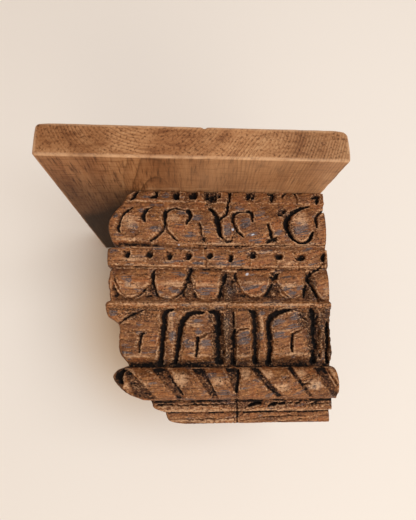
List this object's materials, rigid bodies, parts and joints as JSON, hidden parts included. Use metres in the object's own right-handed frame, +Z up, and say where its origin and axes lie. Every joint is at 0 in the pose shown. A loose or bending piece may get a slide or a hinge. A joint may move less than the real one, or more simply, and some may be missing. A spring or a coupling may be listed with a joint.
{
  "type": "carved shelf bracket",
  "caption": "Wall shelf bracket: a plain thick plank over a weathered wood block carved in bands of scrolls, half rounds, arches and rope, flush at the right.",
  "frame": {"origin": "on the back, midway across the plank and midway up the whole bracket, where it meets the wall", "axes": "+Z up with the shelf on top, the carved front faces -Y, the back is the plane y = 0, +X to the right as seen from the front"},
  "size_m": [0.2, 0.245, 0.1914],
  "materials": {
    "board_wood": "dry brown plank, worn pale along its arrises, grain from front to back",
    "carved_wood": "old red-brown carved wood, grey in patches, near black in the cuts, pale on worn edges"
  },
  "bodies": {
    "root": {"shelf_board": "board_wood", "carved_block_left": "carved_wood", "carved_block_right": "carved_wood"}
  },
  "joints": []
}
